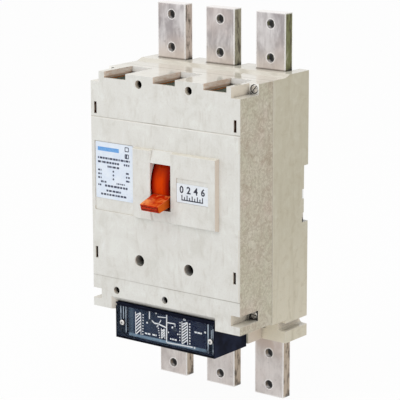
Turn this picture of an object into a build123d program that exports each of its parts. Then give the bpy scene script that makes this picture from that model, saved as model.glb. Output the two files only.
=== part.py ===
"""Three-pole moulded-case circuit breaker with front terminal bars and an electronic trip unit.

Millimetres. X runs to the viewer's right, Y runs back towards the mounting panel and Z runs up.
The origin is the centre of the flat back face. The handle is modelled in its lower, OFF, position.
"""

import math
import os

from build123d import *

# Overall case
pole_pitch = 70.0
pole_count = 3
case_width = pole_pitch * pole_count
base_height = 307.0
base_depth = 69.5
cover_depth = 60.5
cover_height = 274.5
cover_top_drop = 3.0
case_edge_radius = 1.6
seam_chamfer = 0.4
cover_edge_radius = 1.2
running_gap = 0.3

# Top step of the base
top_step_start = 23.0
top_step_run = 9.0

# Feet at the lower corners and their open fixing slots
foot_side_width = 33.0
foot_depth = 43.0
foot_rise = 27.5
slot_height = 10.0
slot_reach = 11.0
slot_rise = 18.5

# Notches in the rear side edges
side_recess_height = 65.0
side_recess_depth = 9.0
side_recess_width = 7.0
side_recess_rise = 14.0
side_pocket_height = 11.0
side_pocket_depth = 12.5

# Shallow reliefs in the back face, two behind each pole
relief_width = 50.0
relief_height = 54.0
relief_offset = 36.0
relief_depth = 4.0
relief_radius = 6.0

# Terminal bars
bar_width = 40.0
bar_thickness = 14.0
bar_back_inset = 12.0
bar_gap = 0.3
bar_side_clearance = 1.0
bar_edge_chamfer = 0.6
bar_upper_reach = 64.5
bar_lower_reach = 73.0
bar_seat_depth = 15.0
bar_channel_depth = 46.0
bar_hole_diameter = 10.5
bar_hole_pitch = 38.0
bar_hole_end = 13.0

# Corner notches of the cover and the screws in them
notch_width = 12.5
notch_height = 12.0
notch_depth = 33.5
notch_radius = 1.5
lower_notch_rise = 9.5
screw_head_diameter = 9.0
screw_head_height = 4.0
screw_shank_diameter = 6.0
screw_length = 52.0
screw_clearance = 0.25
screw_well_gap = 0.7
screw_well_depth = 4.5
screw_slot_width = 1.4
screw_slot_depth = 1.4

# Exhaust vents in the top of the cover
vent_width = 31.0
vent_shift = 1.0
vent_length = 50.0
vent_depth = 7.0
chute_side_gap = 0.5
chute_depth = 28.0
chute_front_inset = 3.0
chute_wall = 2.0
chute_plate = 1.6
chute_plate_count = 9
chute_top_drop = 1.0

# Front face relief
zone_step = 0.8
upper_zone_height = 52.5
lower_zone_height = 37.5
escutcheon_height = 82.0
escutcheon_left = 41.0
escutcheon_right = 77.5
escutcheon_rise = 6.5
escutcheon_edge = 0.8
escutcheon_draft = 1.8

# Round holes and slits in the front
bolt_hole_spacing = 70.0
upper_bolt_drop = 10.0
lower_bolt_rise = 63.6
upper_hole_diameter = 9.5
lower_hole_diameter = 13.0
bolt_diameter_clear = 8.4
low_hole_rise = 23.0
low_hole_diameter = 8.5
low_hole_depth = 40.0
slit_inset = 7.0
slit_width = 3.8
slit_height = 13.5
slit_depth = 14.0
upper_slit_drop = 42.0
lower_slit_rise = 64.5

# Name plate on the left and rating plate on the right
name_recess_gap = 2.0
name_recess_width = 56.5
name_recess_height = 80.5
name_recess_depth = 1.2
name_plate_width = 54.0
name_plate_height = 65.0
name_plate_thickness = 0.6
name_plate_margin = 1.0
rating_recess_width = 44.0
rating_recess_height = 27.0
rating_recess_depth = 1.0
rating_recess_left = 22.5
rating_plate_height = 21.3
rating_plate_thickness = 0.7
plate_gap = 0.3

# Handle opening, handle and its shaft
handle_rise = 154.0
opening_width = 29.0
opening_height = 52.0
ramp_depth = 4.5
pivot_depth = 40.2
shield_radius = 44.0
shield_thickness = 3.0
shield_half_angle = 52.5
shield_overlap = 2.4
shield_gap = 1.4
shield_side_gap = 1.0
handle_throw = 35.0
lever_width = 25.4
lever_reach = 69.3
lever_root = 10.4
lever_root_drop = 1.3
lever_tip = 8.0
lever_edge_radius = 1.0
grip_groove_count = 2
grip_groove_pitch = 3.4
grip_groove_height = 1.5
grip_groove_depth = 0.8
grip_groove_inset = 2.4
hub_radius = 9.0
shaft_diameter = 8.0
shaft_running_gap = 0.08
shaft_seat = 6.0
web_width = 18.0
web_thickness = 9.0
cavity_back = 13.0

# Electronic trip unit
trip_width = 141.6
trip_offset = -1.2
trip_height = 41.7
trip_top_gap = 0.5
trip_side_gap = 0.5
trip_bevel = 5.5
trip_edge_break = 0.8
trip_pocket_wall = 2.6
trip_side_wall = 1.2
trip_pocket_depth = 7.4
trip_pocket_radius = 1.5
panel_edge_gap = 0.5
trip_front_radius = 0.8
trip_corner_width = 2.0
trip_corner_height = 3.2
trip_corner_drop = 1.1
trip_corner_depth = 3.0
panel_thickness = 2.0
window_thickness = 2.2
window_edge_gap = 0.4
window_lip = 1.2
window_screw_insets = (10.7, 4.5)
window_screw_drop = 1.4
window_boss_diameter = 8.0
window_screw_head = 6.4
window_screw_head_height = 2.2
window_screw_shank = 3.0
window_screw_length = 11.0
window_screw_cross = 3.6
window_screw_cross_width = 0.9
window_screw_cross_depth = 0.9
knob_diameter = 5.0
knob_height = 1.6
knob_offsets = (-24.3, 11.7)
knob_drops = (16.0, 19.0)

# Places worked out from the sizes above
case_depth = base_depth + cover_depth
seam_y = -base_depth
front_y = -case_depth
base_top = base_height / 2
base_bottom = -base_height / 2
cover_top = base_top - cover_top_drop
cover_bottom = cover_top - cover_height
side_x = case_width / 2
zone_top = cover_top - upper_zone_height
zone_bottom = cover_bottom + lower_zone_height
zone_y = front_y - zone_step
escutcheon_y = front_y - escutcheon_rise
handle_z = cover_bottom + handle_rise
pivot_y = front_y + pivot_depth
pole_xs = [pole_pitch * (i - (pole_count - 1) / 2) for i in range(pole_count)]
vent_xs = [x + vent_shift for x in pole_xs]
bar_back_y = -bar_back_inset
bar_front_y = bar_back_y - bar_thickness
notch_back_y = front_y + notch_depth
upper_notch_z = cover_top - notch_height / 2
lower_notch_z = cover_bottom + lower_notch_rise + notch_height / 2
notch_x = side_x - notch_width / 2
trip_top = cover_bottom + lower_notch_rise - trip_top_gap
trip_bottom = trip_top - trip_height
trip_mid = (trip_top + trip_bottom) / 2
window_screw_z = trip_mid - window_screw_drop
panel_front_y = front_y + trip_pocket_depth - panel_thickness
window_screw_xs = (window_screw_insets[0] - trip_width / 2, trip_width / 2 - window_screw_insets[1])
panel_half = trip_width / 2 - max(window_screw_insets) - window_boss_diameter / 2 - running_gap
rest_angle = handle_throw / 2


def block(x0, x1, y0, y1, z0, z1):
    """Box between two corners."""
    size = Box(abs(x1 - x0), abs(y1 - y0), abs(z1 - z0))
    return Pos((x0 + x1) / 2, (y0 + y1) / 2, (z0 + z1) / 2) * size


def bore(x, z, diameter, y0, y1):
    """Round rod along Y, used for holes, heads and shanks."""
    rod = Rot(90, 0, 0) * Cylinder(diameter / 2, abs(y1 - y0))
    return Pos(x, (y0 + y1) / 2, z) * rod


def side_prism(points, width):
    """Prism of a Y and Z outline, centred on X = 0."""
    outline = Plane.YZ * make_face(Polyline(*points, close=True))
    return Pos(-width / 2, 0, 0) * extrude(outline, amount=width, dir=(1, 0, 0))


def front_pocket(width, height, radius, x, z, y0, y1):
    """Rounded rectangular prism that runs along Y."""
    plane = Plane(origin=(x, min(y0, y1), z), x_dir=(1, 0, 0), z_dir=(0, 1, 0))
    return extrude(plane * RectangleRounded(width, height, radius), amount=abs(y1 - y0))


def vertical_edges(shape, y):
    """The two upright corner edges of a case half that lie at depth y."""
    picked = shape.edges().filter_by(Axis.Z)
    return [e for e in picked if abs(e.center().Y - y) < 0.01 and abs(abs(e.center().X) - side_x) < 0.01]


def bar_channel(side):
    """Open-backed channel for one terminal bar and the closed seat past its end."""
    channel_half = bar_width / 2 + bar_side_clearance
    seat_half = bar_width / 2 + bar_gap
    mouth = side * (base_height / 2 + 1)
    channel_end = side * (base_height / 2 - bar_channel_depth)
    seat_end = channel_end - side * (bar_seat_depth + bar_gap)
    channel = block(-channel_half, channel_half, bar_front_y - bar_gap, 1, channel_end, mouth)
    seat = block(-seat_half, seat_half, bar_front_y - bar_gap, bar_back_y + bar_gap, seat_end, channel_end)
    return channel + seat


def base_side_cuts(side):
    """Fixing slot of the foot and the stepped notch in the rear edge, on one side."""
    outer = side * (side_x + 1)
    slot_z = base_bottom + slot_rise
    slot_inner = side * (side_x - slot_reach + slot_height / 2)
    slot = block(slot_inner, outer, -foot_depth - 1, 1, slot_z - slot_height / 2, slot_z + slot_height / 2)
    slot += bore(slot_inner, slot_z, slot_height, -foot_depth - 1, 1)
    recess_z = side_recess_rise
    recess_inner = side * (side_x - side_recess_width)
    low = recess_z - side_recess_height / 2
    cuts = slot + block(recess_inner, outer, -side_recess_depth, 1, low, low + side_recess_height)
    for pocket_low in (low, recess_z - side_pocket_height / 2):
        pocket_high = pocket_low + side_pocket_height
        cuts += block(recess_inner, outer, -side_pocket_depth, 1, pocket_low, pocket_high)
    return cuts


def make_base():
    """Rear half of the case: stepped top, feet, bar channels and fixing holes."""
    step_y = seam_y + top_step_start
    outline = [
        (seam_y, base_bottom),
        (0, base_bottom),
        (0, base_top),
        (step_y + top_step_run, base_top),
        (step_y, cover_top),
        (seam_y, cover_top),
    ]
    base = side_prism(outline, case_width)
    base = fillet(vertical_edges(base, 0), case_edge_radius)
    base = chamfer(vertical_edges(base, seam_y), seam_chamfer)
    for side in (-1, 1):
        inner = side * (side_x - foot_side_width)
        foot_top = base_bottom + foot_rise
        base -= block(inner, side * (side_x + 1), seam_y - 1, -foot_depth, base_bottom - 1, foot_top)
        base -= base_side_cuts(side)
    for x in pole_xs:
        for side in (-1, 1):
            base -= Pos(x, 0, 0) * bar_channel(side)
        for z in (-relief_offset, relief_offset):
            base -= front_pocket(relief_width, relief_height, relief_radius, x, z, -relief_depth, 1)
    for x in (-bolt_hole_spacing / 2, bolt_hole_spacing / 2):
        for z in (cover_top - upper_bolt_drop, cover_bottom + lower_bolt_rise):
            base -= bore(x, z, bolt_diameter_clear, seam_y - 1, 1)
    screw_hole = screw_shank_diameter + 2 * screw_clearance
    for x, z in cover_screw_places():
        base -= bore(x, z, screw_hole, seam_y - 1, screw_tip_y() + running_gap)
    return base


def cover_screw_places():
    """Centres of the four screws that hold the cover."""
    return [(side * notch_x, z) for z in (upper_notch_z, lower_notch_z) for side in (-1, 1)]


def screw_seat_y():
    """Depth at which the cover screws' heads rest, at the bottom of their wells."""
    return notch_back_y + screw_well_depth - running_gap


def screw_tip_y():
    """Depth of the cover screws' tips."""
    return screw_seat_y() + screw_length


def drafted_block():
    """Raised block round the handle, narrower at its front by the draft of its sides."""
    middle = (escutcheon_right - escutcheon_left) / 2
    width = escutcheon_left + escutcheon_right
    sink = 1.0
    foot = Plane.XZ.offset(-front_y - sink) * Pos(middle, handle_z) * Rectangle(width, escutcheon_height)
    narrow = Rectangle(width - 2 * escutcheon_draft, escutcheon_height - 2 * escutcheon_draft)
    return loft([foot, Plane.XZ.offset(-escutcheon_y) * Pos(middle, handle_z) * narrow])


def make_cover_body():
    """Front half of the case with its proud middle zone and raised escutcheon."""
    cover = block(-side_x, side_x, front_y, seam_y, cover_bottom, cover_top)
    cover = fillet(vertical_edges(cover, front_y), cover_edge_radius)
    cover = chamfer(vertical_edges(cover, seam_y), seam_chamfer)
    half = side_x - cover_edge_radius
    zone = block(-half, half, zone_y, front_y + 1, zone_bottom, zone_top)
    zone = chamfer(zone.faces().sort_by(Axis.Y)[0].edges(), zone_step * 0.6)
    raised = drafted_block()
    raised = fillet(raised.faces().sort_by(Axis.Y)[0].edges(), escutcheon_edge)
    return cover + zone + raised


def cut_corner_notches(cover):
    """Notches at the four corners, each with a clear hole for its screw."""
    inner = side_x - notch_width
    for side in (-1, 1):
        for z, top in ((upper_notch_z, cover_top + 1), (lower_notch_z, lower_notch_z + notch_height / 2)):
            low = z - notch_height / 2
            notch = block(side * inner, side * (side_x + 1), zone_y - 1, notch_back_y, low, top)
            deep_edge = notch.edges().filter_by(Axis.Z).sort_by(Axis.Y)[-2:]
            inner_edge = [e for e in deep_edge if abs(abs(e.center().X) - inner) < 0.01]
            cover -= fillet(inner_edge, notch_radius)
    for x, z in cover_screw_places():
        well_diameter = screw_head_diameter + 2 * screw_well_gap
        cover -= bore(x, z, well_diameter, notch_back_y - 1, notch_back_y + screw_well_depth)
        cover -= bore(x, z, screw_shank_diameter + 2 * screw_clearance, notch_back_y, seam_y + 1)
    return cover


def cut_vents(cover):
    """Exhaust vents with a narrow front sill, and the well of each arc chute."""
    floor = cover_top - vent_depth
    half = vent_width / 2
    back = front_y + vent_length
    sill_back = front_y + chute_front_inset - running_gap
    for x in vent_xs:
        cover -= block(x - half, x + half, zone_y - 1, back, floor, cover_top + 1)
        cover -= block(x - half, x + half, sill_back, back, floor - chute_depth, floor + 1)
    return cover


def cut_front_holes(cover):
    """Fixing holes, adjuster holes and slits of the front face."""
    for x in (-bolt_hole_spacing / 2, bolt_hole_spacing / 2):
        upper_z = cover_top - upper_bolt_drop
        lower_z = cover_bottom + lower_bolt_rise
        cover -= bore(x, upper_z, upper_hole_diameter, zone_y - 1, seam_y + 1)
        cover -= bore(x, lower_z, lower_hole_diameter, zone_y - 1, seam_y + 1)
    for x in pole_xs[:2]:
        z = cover_bottom + low_hole_rise
        cover -= bore(x, z, low_hole_diameter, zone_y - 1, front_y + low_hole_depth)
    half_width = slit_width / 2
    half_height = slit_height / 2
    slit = block(-half_width, half_width, zone_y - 1, front_y + slit_depth, -half_height, half_height)
    for x in (slit_inset - side_x, side_x - slit_inset):
        for z in (cover_top - upper_slit_drop, cover_bottom + lower_slit_rise):
            cover -= Pos(x, 0, z) * slit
    return cover


def name_recess_center():
    """Centre of the left recess in X and Z."""
    x = -escutcheon_left - name_recess_gap - name_recess_width / 2
    z = handle_z + escutcheon_height / 2 - name_recess_height / 2
    return x, z


def cut_plate_recesses(cover):
    """Shallow recesses that take the name plate and the rating plate."""
    x, z = name_recess_center()
    back = zone_y + name_recess_depth
    cover -= front_pocket(name_recess_width, name_recess_height, 1.5, x, z, zone_y - 1, back)
    x = rating_recess_left + rating_recess_width / 2
    back = escutcheon_y + rating_recess_depth
    return cover - front_pocket(
        rating_recess_width, rating_recess_height, 1.0, x, handle_z, escutcheon_y - 1, back
    )


def handle_cavity():
    """Room behind the opening in which the handle's shield swings."""
    half = opening_width / 2 + shield_overlap + shield_side_gap
    drum = Rot(0, 90, 0) * Cylinder(shield_radius + shield_gap, 2 * half)
    drum = Pos(0, pivot_y, handle_z) * drum
    limit = block(-half, half, front_y - 20, pivot_y + cavity_back, handle_z - 60, handle_z + 60)
    return drum & limit


def cut_handle_opening(cover):
    """Opening, finger ramps above and below it, swing room and shaft seats."""
    half_height = opening_height / 2
    top = escutcheon_height / 2
    cover -= handle_cavity()
    cover -= front_pocket(opening_width, opening_height, 1.0, 0, handle_z, escutcheon_y - 1, pivot_y)
    for side in (-1, 1):
        ramp = [
            (escutcheon_y - 1, handle_z + side * (half_height - 0.01)),
            (escutcheon_y, handle_z + side * half_height),
            (escutcheon_y + ramp_depth, handle_z + side * (top + 0.01)),
            (escutcheon_y - 1, handle_z + side * (top + 0.01)),
        ]
        cover -= side_prism(ramp, opening_width)
    seat_half = shaft_half_length()
    shaft_seat_cut = Rot(0, 90, 0) * Cylinder(shaft_diameter / 2 + 0.01, 2 * seat_half)
    return cover - Pos(0, pivot_y, handle_z) * shaft_seat_cut


def bay_section(left, right, bottom, top, y):
    """Upright rectangle at a depth, for the bay's bevel."""
    plane = Plane.XZ.offset(-y) * Pos((left + right) / 2, (bottom + top) / 2)
    return plane * Rectangle(right - left, top - bottom)


def cut_trip_bay(cover):
    """Cut-out of the lower edge, bevelled above and on the left of the trip unit."""
    left = trip_offset - trip_width / 2 - trip_side_gap
    right = trip_offset + trip_width / 2 + trip_side_gap
    top = trip_top + trip_top_gap
    low = cover_bottom - trip_bevel
    cover -= block(left, right, zone_y - 1, seam_y + 1, low, top)
    wide = bay_section(left - trip_bevel, right + trip_edge_break, low, top + trip_bevel, front_y)
    narrow = bay_section(left, right, low, top, front_y + trip_bevel)
    return cover - loft([wide, narrow])


def make_cover():
    """Finished front half of the case."""
    cover = make_cover_body()
    cover = cut_trip_bay(cover)
    cover = cut_corner_notches(cover)
    cover = cut_vents(cover)
    cover = cut_front_holes(cover)
    cover = cut_plate_recesses(cover)
    return cut_handle_opening(cover)


def make_bar(x, side):
    """One terminal bar with its two bolt holes, upper for side 1 and lower for side -1."""
    reach = bar_upper_reach if side > 0 else bar_lower_reach
    end = side * (base_height / 2 + reach)
    start = side * (base_height / 2 - bar_channel_depth - bar_seat_depth)
    bar = block(x - bar_width / 2, x + bar_width / 2, bar_front_y, bar_back_y, start, end)
    bar = chamfer(bar.edges().filter_by(Axis.Z), bar_edge_chamfer)
    for i in range(2):
        z = end - side * (bar_hole_end + i * bar_hole_pitch)
        bar -= bore(x, z, bar_hole_diameter, bar_front_y - 1, bar_back_y + 1)
    return bar


def make_cover_screw(x, z, turn):
    """Slotted cheese-head screw lying along Y."""
    seat = screw_seat_y()
    head_front = seat - screw_head_height
    head = bore(x, z, screw_head_diameter, head_front, seat)
    head = fillet(head.edges().filter_by(GeomType.CIRCLE).sort_by(Axis.Y)[0], 0.8)
    slot = Box(screw_head_diameter + 1, 2 * screw_slot_depth, screw_slot_width)
    slot = Pos(x, head_front, z) * Rot(0, turn, 0) * slot
    return head + bore(x, z, screw_shank_diameter, seat - 0.5, screw_tip_y()) - slot


def make_chute(x):
    """Arc chute: two fibre cheeks joined by splitter plates, open upwards."""
    top = cover_top - vent_depth - chute_top_drop
    bottom = cover_top - vent_depth - chute_depth + running_gap
    front = front_y + chute_front_inset
    back = front_y + vent_length - running_gap
    half = vent_width / 2 - chute_side_gap
    chute = block(x - half, x - half + chute_wall, front, back, bottom, top)
    chute += block(x + half - chute_wall, x + half, front, back, bottom, top)
    pitch = (back - front - chute_plate) / (chute_plate_count - 1)
    plate_half = half - chute_wall / 2
    for i in range(chute_plate_count):
        y = front + i * pitch
        chute += block(x - plate_half, x + plate_half, y, y + chute_plate, bottom, top - chute_top_drop)
    return chute


def make_name_plate():
    """Thin plate in the left recess."""
    x, z = name_recess_center()
    x += (name_recess_width - name_plate_width) / 2 - name_plate_margin
    z += (name_recess_height - name_plate_height) / 2 - name_plate_margin
    back = zone_y + name_recess_depth
    return front_pocket(name_plate_width, name_plate_height, 1.0, x, z, back - name_plate_thickness, back)


def make_rating_plate():
    """Thin plate in the recess of the escutcheon."""
    x = rating_recess_left + rating_recess_width / 2
    z = handle_z - (rating_recess_height - rating_plate_height) / 2 + plate_gap
    back = escutcheon_y + rating_recess_depth
    width = rating_recess_width - 2 * plate_gap
    return front_pocket(width, rating_plate_height, 0.8, x, z, back - rating_plate_thickness, back)


def shaft_half_length():
    """Half the shaft's length, which reaches past the swing room into the cover on both sides."""
    return opening_width / 2 + shield_overlap + shield_side_gap + shaft_seat


def make_shaft():
    """Shaft that carries the handle."""
    shaft = Rot(0, 90, 0) * Cylinder(shaft_diameter / 2, 2 * shaft_half_length())
    return Pos(0, pivot_y, handle_z) * shaft


def grip_grooves():
    """Level grooves across the lever's end face."""
    half = lever_width / 2 - grip_groove_inset
    end = -lever_reach
    first = -grip_groove_pitch * (grip_groove_count - 1) / 2
    grooves = Part()
    for i in range(grip_groove_count):
        z = first + i * grip_groove_pitch
        low = z - grip_groove_height / 2
        grooves += block(-half, half, end - 1, end + grip_groove_depth, low, low + grip_groove_height)
    return grooves


def make_handle():
    """Toggle: curved shield, lever, web and hub, tilted to the OFF position."""
    shield_width = opening_width + 2 * shield_overlap
    outer = Rot(0, 90, 0) * Cylinder(shield_radius, shield_width)
    inner = Rot(0, 90, 0) * Cylinder(shield_radius - shield_thickness, shield_width + 1)
    reach = 2 * shield_radius
    rise = reach * math.tan(math.radians(shield_half_angle))
    sector = side_prism([(0, 0), (-reach, rise), (-reach, -rise)], shield_width + 2)
    shield = (outer - inner) & sector
    lever_root_y = -(shield_radius - shield_thickness / 2)
    lever = side_prism(
        [
            (lever_root_y, -lever_root / 2 - lever_root_drop),
            (lever_root_y, lever_root / 2 - lever_root_drop),
            (-lever_reach, lever_tip / 2),
            (-lever_reach, -lever_tip / 2),
        ],
        lever_width,
    )
    tip = [e for e in lever.edges() if abs(e.center().Y + lever_reach) < 0.01]
    lever = fillet(tip, lever_edge_radius) - grip_grooves()
    web = block(-web_width / 2, web_width / 2, lever_root_y, 0, -web_thickness / 2, web_thickness / 2)
    hub = Rot(0, 90, 0) * Cylinder(hub_radius, web_width)
    hole = Rot(0, 90, 0) * Cylinder(shaft_diameter / 2 + shaft_running_gap, web_width + 2)
    handle = shield + lever + web + hub - hole
    return Pos(0, pivot_y, handle_z) * Rot(rest_angle, 0, 0) * handle


def make_trip_housing():
    """Box of the trip unit with a front pocket, two screw bosses and notched upper corners."""
    half = trip_width / 2
    housing = block(-half, half, front_y, seam_y - running_gap, trip_bottom, trip_top)
    housing = fillet(housing.faces().sort_by(Axis.Y)[0].edges(), trip_front_radius)
    width = trip_width - 2 * trip_side_wall
    height = trip_height - 2 * trip_pocket_wall
    floor_y = front_y + trip_pocket_depth
    housing -= front_pocket(width, height, trip_pocket_radius, 0, trip_mid, front_y - 1, floor_y)
    boss_front = front_y + window_thickness + running_gap
    hole_diameter = window_screw_shank + 2 * screw_clearance
    hole_end = front_y + window_screw_length + 1
    for x in window_screw_xs:
        housing += bore(x, window_screw_z, window_boss_diameter, boss_front, floor_y + 0.5)
        housing -= bore(x, window_screw_z, hole_diameter, boss_front - 1, hole_end)
    corner_back = front_y + trip_corner_depth
    corner_top = trip_top - trip_corner_drop
    corner_low = corner_top - trip_corner_height
    for side in (-1, 1):
        inner = side * (half - trip_corner_width)
        housing -= block(inner, side * (half + 1), front_y - 1, corner_back, corner_low, corner_top)
    return housing


def make_trip_panel():
    """Printed panel at the bottom of the trip unit's pocket."""
    height = trip_height - 2 * (trip_pocket_wall + panel_edge_gap)
    back = panel_front_y + panel_thickness
    return front_pocket(2 * panel_half, height, 0.8, 0, trip_mid, panel_front_y, back)


def make_trip_window():
    """Clear window: front plate, lips along its long edges and an upright rib beside each screw."""
    width = trip_width - 2 * (trip_side_wall + window_edge_gap)
    height = trip_height - 2 * (trip_pocket_wall + window_edge_gap)
    back = front_y + window_thickness
    window = front_pocket(width, height, 1.2, 0, trip_mid, front_y, back)
    reach = panel_front_y - running_gap
    low = trip_mid - height / 2
    for side in (-1, 1):
        edge = trip_mid + side * height / 2
        window += block(-panel_half, panel_half, back - 0.1, reach, edge - side * window_lip, edge)
        rib = side * panel_half
        window += block(rib, rib - side * window_lip, back - 0.1, reach, low, low + height)
    for x in window_screw_xs:
        hole = window_screw_shank + 2 * screw_clearance
        window -= bore(x, window_screw_z, hole, front_y - 1, back + 1)
    return window


def make_window_screw(x):
    """Small pan-head screw of the window with a cross recess."""
    z = window_screw_z
    head_front = front_y - window_screw_head_height
    head = bore(x, z, window_screw_head, head_front, front_y)
    head = fillet(head.edges().filter_by(GeomType.CIRCLE).sort_by(Axis.Y)[0], 1.0)
    for turn in (30, 120):
        bar = Box(window_screw_cross, 2 * window_screw_cross_depth, window_screw_cross_width)
        head -= Pos(x, head_front, z) * Rot(0, turn, 0) * bar
    return head + bore(x, z, window_screw_shank, front_y - 0.5, front_y + window_screw_length)


def make_knob(index):
    """Slotted adjuster on the panel."""
    x = knob_offsets[index]
    z = trip_top - knob_drops[index]
    knob = bore(x, z, knob_diameter, panel_front_y - knob_height, panel_front_y)
    slot = Pos(x, panel_front_y - knob_height, z) * Rot(0, 35, 0) * Box(knob_diameter + 1, 1.0, 0.9)
    return knob - slot


def make_trip_unit():
    """Pieces of the trip unit, set a little to the left of the case's middle."""
    pieces = {
        "trip_unit_housing": make_trip_housing(),
        "trip_unit_panel": make_trip_panel(),
        "trip_unit_window": make_trip_window(),
    }
    for name, x in zip(("left", "right"), window_screw_xs):
        pieces[f"window_screw_{name}"] = make_window_screw(x)
    for index, name in enumerate(("current", "time")):
        pieces[f"{name}_adjuster"] = make_knob(index)
    return {name: Pos(trip_offset, 0, 0) * piece for name, piece in pieces.items()}


def build_parts():
    """All pieces of the breaker under their names."""
    parts = {
        "base_case": make_base(),
        "front_cover": make_cover(),
        "name_plate": make_name_plate(),
        "rating_plate": make_rating_plate(),
        "handle": make_handle(),
        "handle_shaft": make_shaft(),
    }
    parts.update(make_trip_unit())
    for name, x in zip(("left", "middle", "right"), pole_xs):
        parts[f"upper_terminal_{name}"] = make_bar(x, 1)
        parts[f"lower_terminal_{name}"] = make_bar(x, -1)
    for name, x in zip(("left", "middle", "right"), vent_xs):
        parts[f"arc_chute_{name}"] = make_chute(x)
    turns = (20, -50, 65, 10)
    places = ("upper_left", "upper_right", "lower_left", "lower_right")
    for name, turn, (x, z) in zip(places, turns, cover_screw_places()):
        parts[f"cover_screw_{name}"] = make_cover_screw(x, z, turn)
    return parts


os.makedirs("parts", exist_ok=True)
for part_name, shape in build_parts().items():
    export_step(shape, f"parts/{part_name}.step")
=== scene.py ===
"""Looks of the three-pole moulded-case circuit breaker: finishes, printed marks, camera, light and floor."""

import math
import random

import bmesh
import bpy
from mathutils import Matrix, Vector


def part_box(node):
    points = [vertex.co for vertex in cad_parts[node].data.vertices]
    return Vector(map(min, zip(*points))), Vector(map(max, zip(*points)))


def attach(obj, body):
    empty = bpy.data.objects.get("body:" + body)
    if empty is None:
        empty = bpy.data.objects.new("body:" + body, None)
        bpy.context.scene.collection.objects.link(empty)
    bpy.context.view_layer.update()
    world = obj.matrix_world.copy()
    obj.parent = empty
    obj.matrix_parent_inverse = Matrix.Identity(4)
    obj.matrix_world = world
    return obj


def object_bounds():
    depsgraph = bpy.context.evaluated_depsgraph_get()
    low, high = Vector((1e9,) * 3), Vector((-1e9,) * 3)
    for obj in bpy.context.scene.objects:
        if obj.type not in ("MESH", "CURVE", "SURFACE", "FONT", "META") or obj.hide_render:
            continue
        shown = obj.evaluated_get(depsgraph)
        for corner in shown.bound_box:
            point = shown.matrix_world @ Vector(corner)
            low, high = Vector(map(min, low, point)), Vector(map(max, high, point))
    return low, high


MM = 0.001

# Camera, fitted to the photograph
PICTURE_SIZE = 400
CAMERA_FOCAL_PIXELS = 1952
CAMERA_YAW = math.radians(37.42)
CAMERA_PITCH = math.radians(12.90)
CAMERA_ROLL = math.radians(-0.16)
CAMERA_TARGET = Vector((0.0087, -0.0700, 0.0047))
CAMERA_DISTANCE = 2.208
CAMERA_SHIFT_PIXELS = 3.0
CAMERA_REACH = 60.0
SENSOR_WIDTH = 36.0

# Light and floor, with sizes and distances in metres
WORLD_LEVEL = 0.74
KEY_DIRECTION = (-0.35, -1.0, 0.65)
KEY_POWER = 9.5
KEY_SIZE = 1.4
TOP_DIRECTION = (0.1, -0.3, 1.0)
TOP_POWER = 5.0
TOP_SIZE = 1.6
LAMP_DISTANCE = 2.0
FLOOR_WHITE = 0.95
FLOOR_HALF = 14.0
FLOOR_GAP = 0.0005

# Places of the case in the CAD frame, in millimetres
CASE_HALF = 105.0
COVER_BOTTOM = -124.0
BASE_HALF = 153.5
VENT_FLOOR = 143.5
VENT_OUTER = 88.0
ZONE_TOP = 98.0
ZONE_BOTTOM = -86.5
SEAM_DEPTH = -69.5
FRONT_DEPTH = -130.0
REAR_WALL_DEPTH = FRONT_DEPTH + 4.0
HANDLE_WALL = 22.0
PLATE_WALL = 97.0
PLATE_MIDDLE = 37.0
PLATE_REACH = 42.0
SLOT_END = 91.8
SLOT_MIDDLE = -135.0
SLOT_REACH = 5.5
NOTCH_INNER = 92.0
NOTCH_TOP = -101.5
SLIT_INNER = 90.0
SLIT_OUTER = CASE_HALF - 1.5
SLIT_TOP = 138.0

# Two places in millimetres between which a tone of the case fades into another
SIDE_START = (CASE_HALF - 1.5, CASE_HALF - 0.5)
FOOT_START = (COVER_BOTTOM - 1.0, COVER_BOTTOM)
CREASE_START = (COVER_BOTTOM - 3.0, COVER_BOTTOM)
BASE_PALE_FADE = (-150.0, 20.0)
ZONE_LINE_FADE = (-90.0, 20.0)
SEAM_LINE = (0.2, 1.4)
VENT_START = (VENT_FLOOR - 1.5, VENT_FLOOR)
VENT_FLOOR_SHADE = (VENT_FLOOR, VENT_FLOOR + 2.5)
VENT_REAR = (VENT_FLOOR, VENT_FLOOR + 1.5)
HANDLE_WALL_FADE = (80.0, 100.0)
HOLE_SHADE = (FRONT_DEPTH + 2.5, FRONT_DEPTH + 6.5)
LARGE_HOLE_RIM = (FRONT_DEPTH + 0.2, FRONT_DEPTH + 1.2)
LARGE_HOLE_SHADE = (FRONT_DEPTH + 4.0, FRONT_DEPTH + 13.0)
SLIT_SHADE = (FRONT_DEPTH + 0.2, FRONT_DEPTH + 1.4)

# Places and fades of the terminal bars, in millimetres
BAR_FRONT_DEPTH = -26.0
BAR_HOLE_WALL = (BAR_FRONT_DEPTH + 0.8, BAR_FRONT_DEPTH + 1.6)
BAR_HOLE_SHADE = (BAR_FRONT_DEPTH + 3.0, BAR_FRONT_DEPTH + 6.5)
BAR_CONTACT = (BASE_HALF + 0.3, BASE_HALF + 2.4)
BAR_LEFT_FADE = (-45.0, -25.0)
BAR_RIGHT_FADE = (25.0, 45.0)
BAR_TAN_FADE = (-120.0, 100.0)
BAR_LIFT_FADE = (-50.0, 50.0)
BAR_FOOT_FADE = (150.0, 182.0)
BAR_HEAD_FADE = (-188.0, -158.0)

# Places and fades of the handle, in millimetres
HANDLE_END_DEPTH = -153.0
HANDLE_BRIGHTEST = -2.8
HANDLE_CORE = (3.0, 11.0)
HANDLE_FLANK = (10.5, 14.0)
SHIELD_SHADE = (34.0, 55.0)
LEVER_RED_FADE = (-154.0, -134.0)
LEVER_LEFT_FADE = (-12.5, 2.0)
LEVER_PALE_FADE = (-148.0, -138.0)
LEVER_SIDE_FADE = (-152.0, -132.0)

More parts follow.
